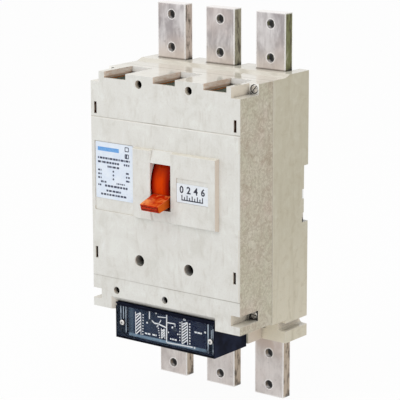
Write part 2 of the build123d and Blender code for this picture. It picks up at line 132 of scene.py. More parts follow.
# Fades of the trip unit, in millimetres, with the lip counted up from the panel's foot
RIM_FADE = (-152.0, -130.0)
PANEL_HUE_FADE = (-55.0, -5.0)
PANEL_PALE_FADE = (-52.0, -48.0)
PANEL_LIP = (2.8, 4.6)
PANEL_LIP_FADE = (10.0, 60.0)

# Strength of the shade in the creases of the base and the cover
BASE_CREASE = 0.40
COVER_CREASE = 0.25
CREASE_BELOW_COVER = 0.25

# Printed marks, in millimetres
INK_THICKNESS = 0.05
DOT_SIDES = 16
COLUMN_DOT_SIDES = 10
PLATE_DOT_SIDES = 12
DASH_LENGTHS = (1.2, 4.4)
DASH_GAPS = (0.6, 1.3)
DASH_SHORTEST = 0.5
RAIL_WIDTH = 0.9
RUNG_WIDTH = 1.3
RUNG_INSET = 0.4
RUNG_RISE = 1.7
WINDOW_THICKNESS = 2.2

# Panel ladders: left, right, top, bottom and number of rungs
PANEL_LADDERS = (
    (-46.9, -39.2, -123.6, -150.0, 7),
    (20.3, 28.2, -123.2, -149.4, 8),
    (-9.4, -4.4, -136.8, -148.4, 4),
)

# Panel columns of dots: first place, last place, number and radius
PANEL_DOT_COLUMNS = (
    ((-35.7, -125.4), (-36.5, -148.4), 8, 0.85),
    ((17.6, -125.2), (17.1, -146.0), 7, 0.8),
    ((31.3, -124.5), (31.3, -147.4), 8, 0.95),
    ((-13.9, -134.6), (-11.9, -148.0), 6, 0.75),
)

# Panel lines: width and places
PANEL_LINES = (
    (0.9, ((22.2, -121.3), (23.9, -119.0), (25.6, -121.3), (22.2, -121.3))),
    (1.5, ((-26.4, -119.6), (-26.6, -129.6), (-22.0, -130.4), (-19.5, -132.4))),
    (1.6, ((-19.5, -132.4), (-14.2, -132.2), (-2.1, -134.6))),
    (1.0, ((-14.7, -123.9), (-1.7, -122.9))),
    (1.0, ((-9.8, -127.2), (-16.0, -136.4))),
    (1.5, ((-1.5, -118.7), (-1.9, -152.0), (35.4, -150.8))),
    (1.3, ((-0.6, -128.4), (10.5, -128.0), (10.3, -133.6))),
)

# Panel dots: place across, height and radius
PANEL_DOTS = (
    (-30.0, -133.7, 1.1),
    (6.8, -132.9, 1.4),
    (38.1, -151.0, 1.2),
    (53.0, -130.3, 1.3),
    (0.8, -139.5, 0.9),
    (14.3, -139.4, 0.9),
    (-16.8, -120.4, 0.9),
)

# Panel rows of dashes: left end, right end and height
PANEL_DASHES = (
    (-33.2, -25.5, -146.6),
    (-22.5, -16.4, -146.4),
    (3.2, 13.1, -146.6),
    (38.0, 48.3, -132.5),
)
PANEL_DASH_WIDTH = 1.8

# Painted glints of the flutes behind the window: place across, width, and upper and lower end as shares of
# the height
WINDOW_FLUTE_GLINTS = (
    (-66.0, 1.3, 0.97, 0.35),
    (-62.2, 0.9, 0.97, 0.55),
    (-58.6, 1.0, 0.97, 0.12),
    (59.4, 1.2, 0.97, 0.03),
    (64.0, 0.8, 0.80, 0.40),
    (66.4, 1.2, 0.85, 0.03),
)

# Name plate rows of dashes: left end, right end, height, width of the dashes and seed
NAME_PLATE_ROWS = (
    (-95.0, -48.5, 51.6, 2.3, 1),
    (-95.0, -64.0, 46.9, 2.3, 2),
    (-57.0, -49.0, 46.9, 2.3, 3),
    (-81.0, -64.0, 42.3, 2.2, 4),
    (-95.0, -90.0, 37.4, 2.0, 10),
    (-54.0, -48.5, 37.4, 2.0, 20),
    (-95.0, -90.0, 33.0, 2.0, 11),
    (-54.0, -48.5, 33.0, 2.0, 21),
    (-95.0, -90.0, 28.6, 2.0, 12),
    (-54.0, -48.5, 28.6, 2.0, 22),
    (-91.0, -83.0, 24.2, 2.2, 30),
    (-68.0, -56.0, 24.0, 1.6, 31),
    (-95.0, -89.0, 20.2, 2.0, 32),
    (-85.0, -52.0, 20.0, 2.4, 33),
    (-83.0, -62.0, 14.4, 2.2, 34),
    (-91.0, -54.0, 9.9, 2.2, 35),
)

# Name plate dots: place across, heights and radius
PLATE_DOT_PLACE = -72.5
PLATE_DOT_HEIGHTS = (37.4, 33.0, 28.6)
PLATE_DOT_RADIUS = 1.15

# Name plate band and squares
BAND_START = (-95.0, 62.0)
BAND_END = (-64.0, 62.0)
BAND_WIDTH = 4.6
SQUARE_LEFT = -55.0
SQUARE_RIGHT = -50.0
SQUARE_HALF = 2.2
SQUARE_LINE = 1.0
SQUARE_MIDDLES = (65.0, 57.0)
SQUARE_FILL = ((-54.2, 57.0), (-52.2, 57.0))

# Rating plate numbers and ticks
DIGIT_SHARE = 0.69
DIGIT_BOLDNESS = 0.30
NUMBER_COUNT = 4
NUMBER_PITCH = 9.8
NUMBER_MIDDLE = 31.6
NUMBER_HEIGHT = 7.6
TICK_COUNT = 9
TICK_PITCH = 3.55
TICK_FOOT = 20.0
TICK_WIDTH = 1.3
TICK_LONG = 5.6
TICK_SHORT = 3.6
SCALE_HALF = 14.8


def color(red, green, blue):
    """Linear colour from the 0 to 255 values seen on a screen."""
    def linear(value):
        share = value / 255
        return share / 12.92 if share <= 0.04045 else ((share + 0.055) / 1.055) ** 2.4
    return (linear(red), linear(green), linear(blue), 1.0)


# Main tones of the case
FRONT_TONE = color(222, 221, 216)
# Side tones: darker and warmer than the front as painted shade
COVER_SIDE_SHADED_TONE = color(200, 192, 172)
BASE_SIDE_SHADED_TONE = color(205, 198, 176)
TOP_TONE = color(224, 219, 206)
INNER_SIDE_TONE = color(236, 226, 210)
# Vent sides: lifted towards white as painted light
VENT_SIDE_LIFTED_TONE = color(252, 238, 224)
# Foot front: lifted as painted light over the shade under the cover
FOOT_FRONT_LIFTED_TONE = color(242, 234, 214)


def front_of(node):
    """Depth of a piece's front face, in millimetres."""
    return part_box(node)[0].y / MM


def add(tree, kind, inputs=None, **settings):
    """One shader node. Its inputs are plain values or the sockets of other nodes."""
    node = tree.nodes.new("ShaderNode" + kind)
    for name, value in settings.items():
        setattr(node, name, value)
    for name, value in (inputs or {}).items():
        if isinstance(value, bpy.types.NodeSocket):
            tree.links.new(value, node.inputs[name])
        else:
            node.inputs[name].default_value = value
    return node


def mix(tree, factor, first, second, blend="MIX"):
    """Colour between two colours."""
    node = add(tree, "Mix", {0: factor, 6: first, 7: second}, data_type="RGBA", blend_type=blend)
    return node.outputs[2]


def math_of(tree, operation, first, second=0.0):
    """Result of one arithmetic step."""
    return add(tree, "Math", {0: first, 1: second}, operation=operation).outputs[0]


def product(tree, first, *others):
    """Values multiplied by each other."""
    for other in others:
        first = math_of(tree, "MULTIPLY", first, other)
    return first


def away_from(tree, value, middle):
    """How far a value lies from a middle one."""
    return math_of(tree, "ABSOLUTE", math_of(tree, "SUBTRACT", value, middle))


def over(tree, value, limit):
    """One where a position is over a limit in millimetres, else zero."""
    return math_of(tree, "GREATER_THAN", value, limit * MM)


def under(tree, value, limit):
    """One where a position is under a limit in millimetres, else zero."""
    return math_of(tree, "LESS_THAN", value, limit * MM)


def ramp(tree, value, low, high, to_low=0.0, to_high=1.0):
    """Smooth step of a value from low to high."""
    inputs = {"Value": value, "From Min": low, "From Max": high, "To Min": to_low, "To Max": to_high}
    return add(tree, "MapRange", inputs, interpolation_type="SMOOTHSTEP").outputs[0]


def fade(tree, value, places, to_low=0.0, to_high=1.0):
    """Smooth step of a position between two places in millimetres."""
    return ramp(tree, value, places[0] * MM, places[1] * MM, to_low, to_high)


def noise(tree, place, scale, detail=3.0, roughness=0.55, distortion=0.0):
    """Noise value with features of about one over the scale, in metres."""
    inputs = {
        "Vector": place,
        "Scale": scale,
        "Detail": detail,
        "Roughness": roughness,
        "Distortion": distortion,
    }
    return add(tree, "TexNoise", inputs).outputs[0]


def place_of(tree):
    """Position on the part, in metres."""
    return add(tree, "TexCoord").outputs["Object"]


def axis_of(tree, vector, axis):
    """One component of a vector."""
    return add(tree, "SeparateXYZ", {0: vector}).outputs[axis]


def from_middle(tree, place):
    """Distance to either side of the part's middle plane, in metres."""
    return math_of(tree, "ABSOLUTE", axis_of(tree, place, 0))


def normal_of(tree):
    """Surface direction."""
    return add(tree, "NewGeometry").outputs["Normal"]


def facing(tree, axis, sign=0, low=0.55, high=0.85):
    """Mask of the surfaces that face along an axis, both ways when sign is 0."""
    part = axis_of(tree, normal_of(tree), axis)
    part = math_of(tree, "ABSOLUTE", part) if sign == 0 else product(tree, part, float(sign))
    return ramp(tree, part, low, high)


def edge_mask(tree, radius, gain=6.0):
    """Mask of the sharp edges, from how far a rounded normal leaves the true one."""
    rounded = add(tree, "Bevel", {"Radius": radius}, samples=6).outputs[0]
    both = {0: rounded, 1: normal_of(tree)}
    alike = add(tree, "VectorMath", both, operation="DOT_PRODUCT").outputs["Value"]
    away = math_of(tree, "SUBTRACT", 1.0, alike)
    return ramp(tree, product(tree, away, gain), 0.15, 1.0)


def hollow_mask(tree, distance, low=0.35, high=0.95):
    """Mask of the places that little light reaches."""
    open_share = add(tree, "AmbientOcclusion", {"Distance": distance}, samples=8).outputs["AO"]
    return ramp(tree, open_share, low, high, 1.0, 0.0)


def bump(tree, height, strength, distance):
    """Normal tilted by a height value."""
    inputs = {"Strength": strength, "Distance": distance, "Height": height}
    return add(tree, "Bump", inputs).outputs["Normal"]


def new_material(name):
    """Material with its node tree and its surface shader."""
    material = bpy.data.materials.new(name)
    material.use_nodes = True
    tree = material.node_tree
    return material, tree, tree.nodes["Principled BSDF"]


def connect(tree, shader, **sockets):
    """Links sockets to the shader's inputs, with an underscore for each space."""
    for name, socket in sockets.items():
        tree.links.new(socket, shader.inputs[name.replace("_", " ")])


def setup(shader, **values):
    """Plain values on the shader's own inputs."""
    for name, value in values.items():
        shader.inputs[name.replace("_", " ")].default_value = value


def mottled(tree, place, tone, dark, light, scale, amount):
    """A tone with soft cloudy patches of a darker and a lighter one."""
    clouds = noise(tree, place, scale, 5.0, 0.6, 0.8)
    darker = ramp(tree, clouds, 0.50, 0.70, 0.0, amount)
    lighter = ramp(tree, clouds, 0.30, 0.50, amount, 0.0)
    return mix(tree, lighter, mix(tree, darker, tone, dark), light)


def swirls(tree, place, scale, amount):
    """Mask of thin winding lines, as flowing moulding compound leaves them."""
    flow = noise(tree, place, scale, 3.0, 0.55, 1.4)
    return ramp(tree, away_from(tree, flow, 0.5), 0.0, 0.07, amount, 0.0)


def stretched(tree, place, x, y, z):
    """Position squeezed along each axis, for streaks."""
    return add(tree, "Mapping", {"Vector": place, "Scale": (x, y, z)}).outputs[0]


def front_moulding(tree, place):
    """Off-white front: clouds, upright flow streaks and fine specks."""
    tone = mottled(tree, place, FRONT_TONE, color(205, 203, 195), color(233, 235, 230), 45.0, 0.5)
    streaks = noise(tree, stretched(tree, place, 1.0, 1.0, 0.30), 150.0, 4.0, 0.65, 0.5)
    tone = mix(tree, ramp(tree, streaks, 0.52, 0.76, 0.0, 0.45), tone, color(198, 193, 184))
    tone = mix(tree, ramp(tree, streaks, 0.22, 0.46, 0.45, 0.0), tone, color(236, 238, 236))
    return zone_lines(tree, place, tone)


def zone_lines(tree, place, tone):
    """Painted shade as a fine dark line beside each edge of the middle zone and a painted highlight as a
    pale one inside the upper edge.
    """
    height = axis_of(tree, place, 2)
    line_strength_noise = noise(tree, stretched(tree, place, 0.4, 1.0, 1.0), 55.0, 3.0)
    across = fade(tree, axis_of(tree, place, 0), ZONE_LINE_FADE, 0.45, 1.0)
    strength = product(tree, ramp(tree, line_strength_noise, 0.30, 0.60, 0.35, 0.95), across)
    # Painted shade lines beside the zone's edges and a painted highlight line inside its upper edge
    lines = (
        (ZONE_TOP + 0.5, 0.7, color(152, 148, 140)),
        (ZONE_TOP - 0.7, 0.6, color(240, 240, 238)),
        (ZONE_BOTTOM - 0.4, 0.6, color(172, 168, 160)),
    )
    for middle, half, line in lines:
        away = away_from(tree, height, middle * MM)
        mask = fade(tree, away, (0.5 * half, half), 1.0, 0.0)
        tone = mix(tree, product(tree, mask, strength), tone, line)
    return tone


def swirled_side(tree, place):
    """Beige side of the cover with pale winding lines and brownish patches, darker and warmer than the front
    as painted shade.
    """
    tone = mottled(tree, place, COVER_SIDE_SHADED_TONE, color(178, 162, 140), color(216, 209, 192), 70.0, 0.90)
    hue = noise(tree, place, 26.0, 2.0)
    tone = mix(tree, ramp(tree, hue, 0.52, 0.66, 0.0, 0.45), tone, color(206, 186, 172))
    tone = mix(tree, ramp(tree, hue, 0.36, 0.48, 0.45, 0.0), tone, color(198, 196, 170))
    tone = mix(tree, swirls(tree, place, 150.0, 0.60), tone, color(224, 216, 197))
    tone = mix(tree, swirls(tree, place, 90.0, 0.45), tone, color(168, 152, 130))
    specks = noise(tree, place, 240.0, 3.0, 0.6)
    return mix(tree, ramp(tree, specks, 0.54, 0.76, 0.0, 0.50), tone, color(162, 148, 124))


def plain_side(tree, place):
    """Smooth olive-beige side of the base with faint upright streaks, darker than the front as painted shade
    and paler near its foot as painted light.
    """
    # Paler towards the foot as painted light from below
    pale = fade(tree, axis_of(tree, place, 2), BASE_PALE_FADE, 1.0, 0.0)
    tone = mix(tree, pale, BASE_SIDE_SHADED_TONE, color(223, 215, 194))
    tone = mottled(tree, place, tone, color(192, 182, 156), color(218, 213, 194), 90.0, 0.5)
    streaks = noise(tree, stretched(tree, place, 1.0, 1.0, 0.15), 90.0, 4.0, 0.6, 0.4)
    tone = mix(tree, ramp(tree, streaks, 0.50, 0.74, 0.0, 0.35), tone, color(188, 178, 152))
    return mix(tree, ramp(tree, streaks, 0.24, 0.46, 0.40, 0.0), tone, color(222, 217, 200))


def vent_side(tree, height, streaks):
    """Side faces of the vents: lifted towards white as painted light, with warm streaks and brown at the
    floor as painted shade.
    """
    tone = mix(tree, ramp(tree, streaks, 0.40, 0.68), VENT_SIDE_LIFTED_TONE, color(232, 202, 178))
    # Brown at the vent floor: painted shade
    return mix(tree, fade(tree, height, VENT_FLOOR_SHADE, 0.7, 0.0), tone, color(164, 118, 80))


def inner_sides(tree, place):
    """Small side faces within the front: pale, and palest beside the handle and the name plate, where they
    are lifted as painted light over their shade.
    """
    height = axis_of(tree, place, 2)
    across = from_middle(tree, place)
    streaks = noise(tree, stretched(tree, place, 1.0, 0.3, 1.0), 260.0, 4.0, 0.7)
    tone = mix(tree, ramp(tree, streaks, 0.50, 0.75, 0.0, 0.6), INNER_SIDE_TONE, color(222, 212, 198))
    within = under(tree, across, VENT_OUTER)
    in_vent = product(tree, fade(tree, height, VENT_START), within)
    tone = mix(tree, in_vent, tone, vent_side(tree, height, streaks))
    below_vents = product(tree, within, under(tree, height, ZONE_TOP), 0.6)
    tone = mix(tree, below_vents, tone, color(222, 206, 192))
    # Walls beside the handle and the name plate lifted towards white as painted light
    handle_wall_lift = under(tree, across, HANDLE_WALL)
    handle_wall_lift = product(tree, handle_wall_lift, fade(tree, height, HANDLE_WALL_FADE, 0.85, 0.0))
    tone = mix(tree, handle_wall_lift, tone, color(253, 252, 249))
    away = away_from(tree, height, PLATE_MIDDLE * MM)
    plate_wall_lift = product(tree, over(tree, across, PLATE_WALL), under(tree, away, PLATE_REACH))
    return mix(tree, plate_wall_lift, tone, color(255, 254, 252))


def slit_zone(tree, place):
    """Mask of the two upright strips of the front that hold the slits."""
    across = from_middle(tree, place)
    height = axis_of(tree, place, 2)
    strip = product(tree, over(tree, across, SLIT_INNER), under(tree, across, SLIT_OUTER))
    level = product(tree, over(tree, height, NOTCH_TOP), under(tree, height, SLIT_TOP))
    return product(tree, strip, level)


def darken_hollows(tree, place, tone):
    """Painted shade that grows with depth in the front holes, and sooner in the narrow slits."""
    depth = axis_of(tree, place, 1)
    height = axis_of(tree, place, 2)
    # Painted shade in the holes and slits
    wide = product(tree, hollow_mask(tree, 0.012, 0.22, 0.62), fade(tree, depth, HOLE_SHADE))
    tone = mix(tree, wide, tone, color(30, 24, 22), "MULTIPLY")
    lower = product(tree, under(tree, height, 0.0), over(tree, height, NOTCH_TOP))
    large = product(tree, hollow_mask(tree, 0.030, 0.40, 0.85), lower)
    rim = product(tree, large, fade(tree, depth, LARGE_HOLE_RIM))
    tone = mix(tree, rim, tone, color(196, 200, 206), "MULTIPLY")
    deep = product(tree, large, fade(tree, depth, LARGE_HOLE_SHADE))
    tone = mix(tree, deep, tone, color(78, 76, 76), "MULTIPLY")
    narrow = product(tree, hollow_mask(tree, 0.005, 0.50, 0.92), fade(tree, depth, SLIT_SHADE))
    narrow = product(tree, narrow, slit_zone(tree, place))
    return mix(tree, narrow, tone, color(94, 52, 36), "MULTIPLY")


def rear_walls(tree, place, tone):
    """Rear walls of the vents lifted to pale as painted light, dark rear walls of the lower notches and
    shaded ends of the foot slots as painted shade.
    """
    height = axis_of(tree, place, 2)
    across = from_middle(tree, place)
    behind = over(tree, axis_of(tree, place, 1), REAR_WALL_DEPTH)
    behind = product(tree, behind, facing(tree, 1, -1))
    # Pale vent rear walls: painted light
    vent = product(tree, behind, fade(tree, height, VENT_REAR, 0.0, 0.9))
    tone = mix(tree, vent, tone, color(255, 254, 250))
    # Dark notch rear walls and shaded foot slot ends: painted shade
    level = product(tree, under(tree, height, NOTCH_TOP), over(tree, height, COVER_BOTTOM))
    notch = product(tree, behind, over(tree, across, NOTCH_INNER), level)
    tone = mix(tree, notch, tone, color(34, 30, 28))
    away = away_from(tree, height, SLOT_MIDDLE * MM)
    slot = product(tree, under(tree, away, SLOT_REACH), under(tree, across, SLOT_END))
    slot = product(tree, slot, hollow_mask(tree, 0.010, 0.60, 0.90))
    return mix(tree, slot, tone, color(58, 50, 40), "MULTIPLY")


def case_faces(tree, place, side_look, seam_side):
    """Front, side and top tones of the case, each where a surface faces its way: the sides darker than the
    front as painted shade, the foot's front lifted as painted light.
    """
    outer = fade(tree, from_middle(tree, place), SIDE_START)
    side_tone = mix(tree, outer, inner_sides(tree, place), side_look(tree, place))
    front_tone = front_moulding(tree, place)
    if seam_side > 0:
        # The foot's front takes a lifted tone as painted light
        foot = fade(tree, axis_of(tree, place, 2), FOOT_START, 1.0, 0.0)
        front_tone = mix(tree, foot, front_tone, FOOT_FRONT_LIFTED_TONE)
    tone = mix(tree, facing(tree, 0), front_tone, side_tone)
    top = mottled(tree, place, TOP_TONE, color(213, 206, 191), color(238, 234, 224), 55.0, 0.5)
    return mix(tree, facing(tree, 2, 1), tone, top)


def creases(tree, place, tone, seam_side):
    """Brownish shade where faces of the case meet, weaker below the cover."""
    near = hollow_mask(tree, 0.0025, 0.40, 0.80)
    crease = BASE_CREASE if seam_side > 0 else COVER_CREASE
    height = axis_of(tree, place, 2)
    strength = fade(tree, height, CREASE_START, CREASE_BELOW_COVER * crease, crease)
    return mix(tree, product(tree, near, strength), tone, color(166, 148, 126), "MULTIPLY")


def seam_lines(tree, place, tone, seam_side):
    """Fine line beside the seam, dark on the top; at the sides a painted highlight on the base side and a
    brownish line on the cover side.
    """
    offset = math_of(tree, "SUBTRACT", axis_of(tree, place, 1), SEAM_DEPTH * MM)
    behind = product(tree, offset, seam_side)
    seam = fade(tree, behind, SEAM_LINE, 0.70, 0.0)
    on_top = product(tree, seam, facing(tree, 2, 1, 0.2, 0.6))
    # Seam lines; the pale one on the base side is a painted highlight
    tone = mix(tree, on_top, tone, color(150, 138, 118))
    return mix(tree, product(tree, seam, facing(tree, 0)), tone, seam_tone(seam_side))


def case_plastic(name, side_look, seam_side):
    """Moulded compound: satin front, its own side look darkened as painted shade, and a glossy cream top."""
    material, tree, shader = new_material(name)
    place = place_of(tree)
    tone = case_faces(tree, place, side_look, seam_side)
    fine = noise(tree, place, 620.0, 4.0, 0.7)
    tone = mix(tree, ramp(tree, fine, 0.50, 0.78, 0.0, 0.30), tone, color(186, 176, 160))
    tone = darken_hollows(tree, place, tone)
    tone = rear_walls(tree, place, tone)
    tone = creases(tree, place, tone, seam_side)
    # Paler sharp edges: painted highlight
    tone = mix(tree, product(tree, edge_mask(tree, 0.0006), 0.50), tone, color(242, 240, 234))
    tone = seam_lines(tree, place, tone, seam_side)
    gloss = mix(tree, facing(tree, 2, 1), (0.44, 0.44, 0.44, 1), (0.09, 0.09, 0.09, 1))
    rough = math_of(tree, "ADD", gloss, ramp(tree, fine, 0.3, 0.8, -0.03, 0.08))
    waves = noise(tree, place, 60.0, 2.0)
    grain = product(tree, noise(tree, place, 900.0, 2.0), 0.14)
    relief = math_of(tree, "ADD", grain, waves)
    setup(shader, Specular_IOR_Level=0.45, IOR=1.5)
    connect(tree, shader, Base_Color=tone, Roughness=rough, Normal=bump(tree, relief, 0.18, 0.0004))
    return material


def seam_tone(seam_side):
    """Painted highlight as a pale line on the base side of the seam, and a brownish line on the cover side.
    """
    return color(226, 220, 202) if seam_side > 0 else color(168, 150, 132)


def bar_edge_tone(tree, place):
    """Sawn edges of the bars with painted reflections: pinkish on the left, dark in the middle, olive on the
    right, tan below.
    """
    across = axis_of(tree, place, 0)
    # Side colours by place across and height: painted reflections
    tone = mix(tree, fade(tree, across, BAR_LEFT_FADE), color(192, 176, 164), color(146, 140, 118))
    tone = mix(tree, fade(tree, across, BAR_RIGHT_FADE), tone, color(114, 114, 74))
    low = fade(tree, axis_of(tree, place, 2), BAR_TAN_FADE, 1.0, 0.0)
    tone = mix(tree, low, tone, color(182, 166, 148))
    saw = noise(tree, stretched(tree, place, 1.0, 1.6, 0.45), 125.0, 5.0, 0.75)
    tone = mix(tree, ramp(tree, saw, 0.48, 0.60, 0.0, 0.85), tone, color(66, 54, 42))
    return mix(tree, ramp(tree, saw, 0.28, 0.44, 0.60, 0.0), tone, color(206, 198, 184))


def bar_face(tree, place, clouds, grain):
    """Face of a bar: soft clouds, fine scratches, a few spots, warmer where it leaves the case, and paler on
    the lower bars as painted light.
    """
    height = axis_of(tree, place, 2)
    tone = mix(tree, ramp(tree, clouds, 0.36, 0.64), color(213, 209, 209), color(165, 159, 160))
    warm = noise(tree, place, 24.0, 2.0)
    tone = mix(tree, ramp(tree, warm, 0.45, 0.72, 0.0, 0.5), tone, color(202, 188, 182))
    tone = mix(tree, ramp(tree, grain, 0.5, 0.75, 0.0, 0.55), tone, color(146, 138, 138))
    tone = mix(tree, ramp(tree, grain, 0.25, 0.45, 0.5, 0.0), tone, color(226, 219, 216))
    # Lower bars lifted towards pale as painted light
    tone = mix(tree, fade(tree, height, BAR_LIFT_FADE, 0.38, 0.0), tone, color(234, 224, 216))
    foot = product(tree, over(tree, height, 0.0), fade(tree, height, BAR_FOOT_FADE, 0.65, 0.0))
    tone = mix(tree, foot, tone, color(216, 204, 192))
    head = product(tree, under(tree, height, 0.0), fade(tree, height, BAR_HEAD_FADE, 0.0, 0.60))
    streaky = product(tree, head, ramp(tree, clouds, 0.38, 0.58, 0.5, 1.0))
    tone = mix(tree, streaky, tone, color(198, 176, 160))
    spots = noise(tree, place, 240.0, 3.0, 0.6)
    return mix(tree, ramp(tree, spots, 0.62, 0.78, 0.0, 0.5), tone, color(140, 130, 128))


def bar_hollows(tree, place, tone):
    """Painted light on the walls and painted shade in the depths of the bars' holes, and a painted shadow
    line where a bar leaves the case.
    """
    depth = axis_of(tree, place, 1)
    height = axis_of(tree, place, 2)
    # Painted light on hole walls, painted shade in their depths and at the case
    inside = product(tree, hollow_mask(tree, 0.006, 0.30, 0.60), fade(tree, depth, BAR_HOLE_WALL))
    glow = mix(tree, over(tree, height, 0.0), color(168, 166, 140), color(250, 248, 226))
    tone = mix(tree, inside, tone, glow)
    deep = product(tree, hollow_mask(tree, 0.012, 0.40, 0.80), fade(tree, depth, BAR_HOLE_SHADE))
    tone = mix(tree, deep, tone, color(14, 12, 10), "MULTIPLY")
    contact = fade(tree, math_of(tree, "ABSOLUTE", height), BAR_CONTACT, 0.75, 0.0)
    return mix(tree, contact, tone, color(96, 86, 72), "MULTIPLY")


def tinned_metal():
    """Tinned bar: cloudy scratched faces, sawn edges in painted reflections, and painted highlights on the
    upper faces, the bevels and the edges.
    """
    material, tree, shader = new_material("terminal_tinned")
    place = place_of(tree)
    clouds = noise(tree, stretched(tree, place, 1.0, 1.0, 0.55), 60.0, 5.0, 0.62, 0.3)
    grain = noise(tree, stretched(tree, place, 1.0, 1.0, 0.04), 900.0, 4.0, 0.75)
    tone = bar_face(tree, place, clouds, grain)
    tone = mix(tree, facing(tree, 0, 0, 0.80, 0.95), tone, bar_edge_tone(tree, place))
    # Upper faces, bevels and edges made paler as painted highlights
    tone = mix(tree, facing(tree, 2, 1), tone, color(246, 242, 240))
    bevel = product(tree, facing(tree, 0, 0, 0.45, 0.62), facing(tree, 1, 0, 0.45, 0.62), 0.85)
    tone = mix(tree, bevel, tone, color(250, 248, 246))
    tone = mix(tree, product(tree, edge_mask(tree, 0.0030, 10.0), 0.9), tone, color(252, 250, 248))
    tone = bar_hollows(tree, place, tone)
    rough = ramp(tree, clouds, 0.2, 0.8, 0.34, 0.50)
    relief = math_of(tree, "ADD", grain, product(tree, clouds, 2.0))
    setup(shader, Metallic=0.65)
    connect(tree, shader, Base_Color=tone, Roughness=rough, Normal=bump(tree, relief, 0.12, 0.0003))
    return material


def lever_top(tree, place, streaks):
    """Upper face of the lever: salmon towards its end, deeper red towards the shield, with a painted
    highlight at the left of its end and lighter spots as painted highlights.
    """
    depth = axis_of(tree, place, 1)
    tone = mix(tree, fade(tree, depth, LEVER_RED_FADE), color(228, 98, 30), color(190, 40, 4))
    # Pale patch at the left of the lever's end and lighter spots: painted highlights
    left = fade(tree, axis_of(tree, place, 0), LEVER_LEFT_FADE, 0.75, 0.0)
    pale = product(tree, left, fade(tree, depth, LEVER_PALE_FADE, 1.0, 0.0))
    tone = mix(tree, pale, tone, color(250, 168, 104))
    soft = noise(tree, place, 130.0, 3.0, 0.6, 0.4)
    tone = mix(tree, ramp(tree, soft, 0.46, 0.60, 0.0, 0.70), tone, color(186, 24, 2))
    tone = mix(tree, ramp(tree, soft, 0.36, 0.46, 0.55, 0.0), tone, color(246, 146, 76))
    return mix(tree, ramp(tree, streaks, 0.56, 0.72, 0.0, 0.5), tone, color(166, 26, 4))


def shield_face(tree, place, streaks):
    """Shield of the handle: orange along the middle, deep red at its sides and top as painted shade."""
    across = away_from(tree, axis_of(tree, place, 0), HANDLE_BRIGHTEST * MM)
    tone = mix(tree, fade(tree, across, HANDLE_CORE), color(212, 64, 0), color(134, 14, 0))
    # Deep red flanks and top: painted shade
    tone = mix(tree, fade(tree, across, HANDLE_FLANK), tone, color(56, 5, 2))
    tone = mix(tree, ramp(tree, streaks, 0.50, 0.72, 0.0, 0.45), tone, color(170, 34, 2))
    shade = fade(tree, axis_of(tree, place, 2), SHIELD_SHADE, 0.0, 0.70)
    return mix(tree, shade, tone, color(120, 12, 0))


def lever_end(tree, place, tone):
    """Blotchy deep red end face of the lever, darkened as painted shade."""
    end = under(tree, axis_of(tree, place, 1), HANDLE_END_DEPTH)
    end = product(tree, end, facing(tree, 1, -1, 0.75, 0.92))
    blotch = noise(tree, place, 300.0, 3.0, 0.6)
    # Deep red end face: painted shade
    tip = mix(tree, ramp(tree, blotch, 0.40, 0.62), color(200, 34, 8), color(134, 10, 2))
    return mix(tree, end, tone, tip)


def handle_red():
    """Orange-red moulded handle, with painted light and shade in the tones of the shield and of each face of
    the lever.
    """
    material, tree, shader = new_material("handle_red")
    place = place_of(tree)
    streaks = noise(tree, stretched(tree, place, 1.0, 0.45, 0.15), 200.0, 4.0, 0.6, 0.6)
    tone = shield_face(tree, place, streaks)
    tone = mix(tree, facing(tree, 2, 1, 0.35, 0.85), tone, lever_top(tree, place, streaks))
    along = fade(tree, axis_of(tree, place, 1), LEVER_SIDE_FADE)
    side = mix(tree, along, color(228, 104, 26), color(156, 46, 4))
    tone = mix(tree, facing(tree, 0, 1, 0.6, 0.9), tone, side)
    tone = lever_end(tree, place, tone)
    cloud = noise(tree, place, 110.0, 4.0, 0.6, 0.6)
    tone = mix(tree, ramp(tree, cloud, 0.50, 0.74, 0.0, 0.35), tone, color(168, 30, 2))
    # Painted highlight on the edges and painted shade in the hollows
    tone = mix(tree, product(tree, edge_mask(tree, 0.0009), 0.65), tone, color(240, 146, 104))
    tone = mix(tree, hollow_mask(tree, 0.004, 0.25, 0.8), tone, color(90, 6, 0), "MULTIPLY")
    setup(shader, Specular_IOR_Level=0.03, IOR=1.5)
    rough = ramp(tree, cloud, 0.2, 0.8, 0.26, 0.42)
    peel = noise(tree, place, 700.0, 2.0)
    connect(tree, shader, Base_Color=tone, Roughness=rough, Normal=bump(tree, peel, 0.10, 0.0003))
    return material


def dark_plastic(name, tone, lighter, rubbed_and_highlight_edge, specular):
    """Moulded plastic with a fine grain, soft clouds, a dark front rim and slightly paler edges, partly
    rubbed and partly a painted highlight.
    """
    material, tree, shader = new_material(name)
    place = place_of(tree)
    fine = noise(tree, place, 800.0, 3.0, 0.7)
    cloud = noise(tree, place, 60.0, 3.0)
    base = mix(tree, ramp(tree, cloud, 0.40, 0.70, 0.0, 0.7), tone, lighter)
    base = mix(tree, ramp(tree, fine, 0.55, 0.8, 0.0, 0.45), base, lighter)
    up = fade(tree, axis_of(tree, place, 2), RIM_FADE)
    rim = mix(tree, up, color(4, 5, 10), color(12, 15, 30))
    base = mix(tree, product(tree, facing(tree, 1, -1), 0.85), base, rim)
    # Paler edges: partly rubbed, partly painted highlight
    base = mix(tree, product(tree, edge_mask(tree, 0.0005), 0.12), base, rubbed_and_highlight_edge)
    setup(shader, Specular_IOR_Level=specular, IOR=1.5)
    rough = ramp(tree, cloud, 0.2, 0.8, 0.40, 0.55)
    connect(tree, shader, Base_Color=base, Roughness=rough, Normal=bump(tree, fine, 0.12, 0.0002))
    return material


